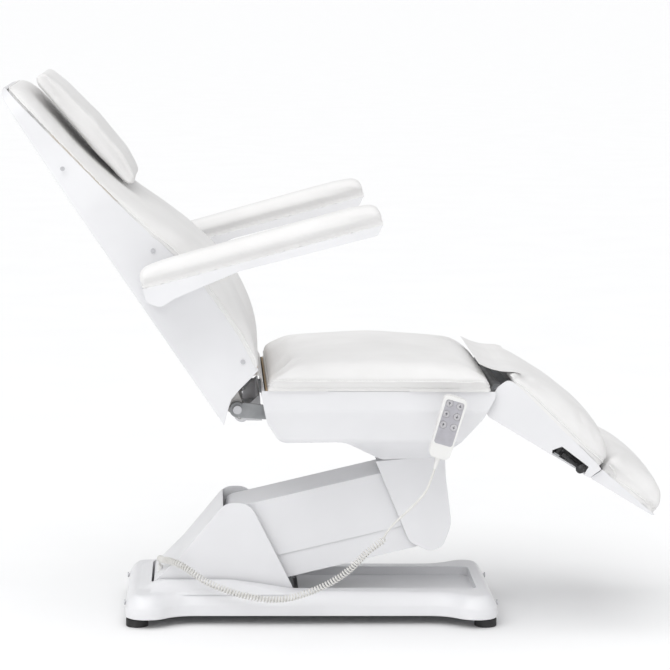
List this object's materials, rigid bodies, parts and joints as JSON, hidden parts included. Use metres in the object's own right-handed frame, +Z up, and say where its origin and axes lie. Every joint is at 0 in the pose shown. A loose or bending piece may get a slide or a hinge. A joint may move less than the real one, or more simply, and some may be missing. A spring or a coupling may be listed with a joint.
{
  "type": "facial treatment bed",
  "caption": "Powered treatment bed with reclining back, lifting leg rest with pull-out foot section, swing-up armrests, head pillow, parallel-arm height lift and corded handset.",
  "frame": {"origin": "on the floor, under the middle of the bed", "axes": "+X towards the foot end, +Z up, the handset hangs on the -Y side"},
  "size_m": [1.4596, 0.824, 1.2264],
  "materials": {
    "painted_steel": "satin powder coat",
    "bright_steel": "satin",
    "white_plastic": "gloss",
    "upholstery": "satin",
    "plywood": "matte",
    "black_rubber": "matte",
    "black_plastic": "satin",
    "handset_plastic": "satin",
    "button_plastic": "matte",
    "cord_jacket": "satin"
  },
  "bodies": {
    "base": {"base_frame": "painted_steel", "base_cover_head": "white_plastic", "base_cover_foot": "white_plastic", "tower_cover": "white_plastic", "levelling_feet": "black_rubber", "base_screws": "bright_steel", "control_box": "black_plastic", "cord_gland": "handset_plastic", "base_pivot_pins": "bright_steel", "cord_curl": "cord_jacket"},
    "lift_arm": {"lower_arms": "painted_steel", "arm_lower_cover": "white_plastic"},
    "upper_arm": {"upper_arms": "painted_steel", "arm_cover": "white_plastic"},
    "lift_drive": {"lift_actuator_body": "painted_steel"},
    "lift_rod": {"lift_actuator_rod": "bright_steel"},
    "seat": {"seat_frame": "painted_steel", "yoke_cover": "white_plastic", "seat_cover": "white_plastic", "seat_tail_cover": "white_plastic", "seat_board": "plywood", "seat_cushion": "upholstery", "seat_pivot_pins": "bright_steel", "handset_holder": "white_plastic", "leg_flap": "upholstery"},
    "back_drive": {"back_actuator_body": "painted_steel"},
    "back_rod": {"back_actuator_rod": "bright_steel"},
    "leg_drive": {"leg_actuator_body": "painted_steel"},
    "leg_rod": {"leg_actuator_rod": "bright_steel"},
    "back": {"back_frame": "painted_steel", "back_shell": "white_plastic", "back_board": "plywood", "back_cushion": "upholstery", "back_screws": "bright_steel", "back_flap": "upholstery"},
    "pillow": {"head_pillow": "upholstery"},
    "near_armrest": {"near_armrest_pad": "upholstery", "near_armrest_tray": "white_plastic", "near_armrest_bracket": "bright_steel"},
    "far_armrest": {"far_armrest_pad": "upholstery", "far_armrest_tray": "white_plastic", "far_armrest_bracket": "bright_steel"},
    "leg": {"leg_frame": "painted_steel", "leg_shell": "white_plastic", "leg_cushion": "upholstery"},
    "lever": {"release_lever": "black_plastic"},
    "foot": {"foot_rails": "bright_steel", "foot_shell": "white_plastic", "foot_cushion": "upholstery"},
    "handset": {"handset_case": "handset_plastic", "strain_relief": "handset_plastic", "cord_lead": "cord_jacket"},
    "back_up_button": {"back_up_button": "button_plastic"},
    "back_down_button": {"back_down_button": "button_plastic"},
    "lift_up_button": {"lift_up_button": "button_plastic"},
    "lift_down_button": {"lift_down_button": "button_plastic"},
    "leg_up_button": {"leg_up_button": "button_plastic"},
    "leg_down_button": {"leg_down_button": "button_plastic"}
  },
  "joints": [
    {"name": "lift", "type": "hinge", "parent": "base", "child": "lift_arm", "pos_m": [-0.21, 0, 0.094], "axis": [0, -1, 0], "range_deg": [0, 36]},
    {"name": "upper_arm_swing", "type": "hinge", "parent": "base", "child": "upper_arm", "pos_m": [-0.21, 0, 0.224], "axis": [0, -1, 0], "range_deg": [0, 36]},
    {"name": "seat_level", "type": "hinge", "parent": "lift_arm", "child": "seat", "pos_m": [0.22738, 0, 0.19981], "axis": [0, -1, 0], "range_deg": [-36, 0]},
    {"name": "lift_actuator_tilt", "type": "hinge", "parent": "base", "child": "lift_drive", "pos_m": [-0.105, 0, 0.08], "axis": [0, -1, 0], "range_deg": [0, 32.65]},
    {"name": "lift_actuator_extend", "type": "slide", "parent": "lift_drive", "child": "lift_rod", "axis": [0.7994, 0, 0.6008], "range_m": [0, 0.1077]},
    {"name": "back_recline", "type": "hinge", "parent": "seat", "child": "back", "pos_m": [-0.21462, 0, 0.49181], "axis": [0, -1, 0], "range_deg": [0, 55]},
    {"name": "back_actuator_tilt", "type": "hinge", "parent": "seat", "child": "back_drive", "pos_m": [0.11038, 0.052, 0.48981], "axis": [0, -1, 0], "range_deg": [-4.61, 0]},
    {"name": "back_actuator_extend", "type": "slide", "parent": "back_drive", "child": "back_rod", "axis": [-0.9892, 0, -0.1468], "range_m": [-0.0399, 0]},
    {"name": "leg_rest_lift", "type": "hinge", "parent": "seat", "child": "leg", "pos_m": [0.36138, 0, 0.53481], "axis": [0, -1, 0], "range_deg": [-44, 31]},
    {"name": "leg_actuator_tilt", "type": "hinge", "parent": "seat", "child": "leg_drive", "pos_m": [-0.05962, -0.052, 0.48981], "axis": [0, -1, 0], "range_deg": [-0.09, 0.1]},
    {"name": "leg_actuator_extend", "type": "slide", "parent": "leg_drive", "child": "leg_rod", "axis": [0.9999, 0, 0.0125], "range_m": [-0.0294, 0.0209]},
    {"name": "foot_extension", "type": "slide", "parent": "leg", "child": "foot", "axis": [0.8572, 0, -0.515], "range_m": [0, 0.15]},
    {"name": "release_lever_swing", "type": "hinge", "parent": "leg", "child": "lever", "pos_m": [0.49267, -0.246, 0.41159], "axis": [-0.515, 0, -0.8572], "range_deg": [0, 25], "stiffness_Nm_per_rad": 0.4, "springref_deg": -5.73},
    {"name": "near_armrest_swing", "type": "hinge", "parent": "back", "child": "near_armrest", "pos_m": [-0.3972, -0.3, 0.7716], "axis": [0, -1, 0], "range_deg": [-72, 95]},
    {"name": "far_armrest_swing", "type": "hinge", "parent": "back", "child": "far_armrest", "pos_m": [-0.3972, 0.3, 0.7716], "axis": [0, -1, 0], "range_deg": [-72, 95]},
    {"name": "pillow_lift", "type": "slide", "parent": "back", "child": "pillow", "axis": [0.8241, 0, 0.5664], "range_m": [0, 0.06]},
    {"name": "handset_lift", "type": "slide", "parent": "seat", "child": "handset", "axis": [0.2756, 0, 0.9613], "range_m": [0, 0.04]},
    {"name": "back_up_press", "type": "slide", "parent": "handset", "child": "back_up_button", "axis": [0, 1, 0], "range_m": [0, 0.0008], "stiffness_N_per_m": 1200, "springref_m": -0.0002},
    {"name": "back_down_press", "type": "slide", "parent": "handset", "child": "back_down_button", "axis": [0, 1, 0], "range_m": [0, 0.0008], "stiffness_N_per_m": 1200, "springref_m": -0.0002},
    {"name": "lift_up_press", "type": "slide", "parent": "handset", "child": "lift_up_button", "axis": [0, 1, 0], "range_m": [0, 0.0008], "stiffness_N_per_m": 1200, "springref_m": -0.0002},
    {"name": "lift_down_press", "type": "slide", "parent": "handset", "child": "lift_down_button", "axis": [0, 1, 0], "range_m": [0, 0.0008], "stiffness_N_per_m": 1200, "springref_m": -0.0002},
    {"name": "leg_up_press", "type": "slide", "parent": "handset", "child": "leg_up_button", "axis": [0, 1, 0], "range_m": [0, 0.0008], "stiffness_N_per_m": 1200, "springref_m": -0.0002},
    {"name": "leg_down_press", "type": "slide", "parent": "handset", "child": "leg_down_button", "axis": [0, 1, 0], "range_m": [0, 0.0008], "stiffness_N_per_m": 1200, "springref_m": -0.0002}
  ],
  "couplings": [
    {"joint": "upper_arm_swing", "follows": "lift", "ratio": 1},
    {"joint": "seat_level", "follows": "lift", "ratio": -1},
    {"joint": "lift_actuator_tilt", "follows": "lift", "ratio": 0.90546},
    {"joint": "lift_actuator_extend", "follows": "lift", "m_per_rad": 0.17046},
    {"joint": "back_actuator_tilt", "follows": "back_recline", "ratio": -0.082818},
    {"joint": "back_actuator_extend", "follows": "back_recline", "m_per_rad": -0.041028},
    {"joint": "leg_actuator_tilt", "follows": "leg_rest_lift", "ratio": -0.001071},
    {"joint": "leg_actuator_extend", "follows": "leg_rest_lift", "m_per_rad": 0.037576}
  ]
}
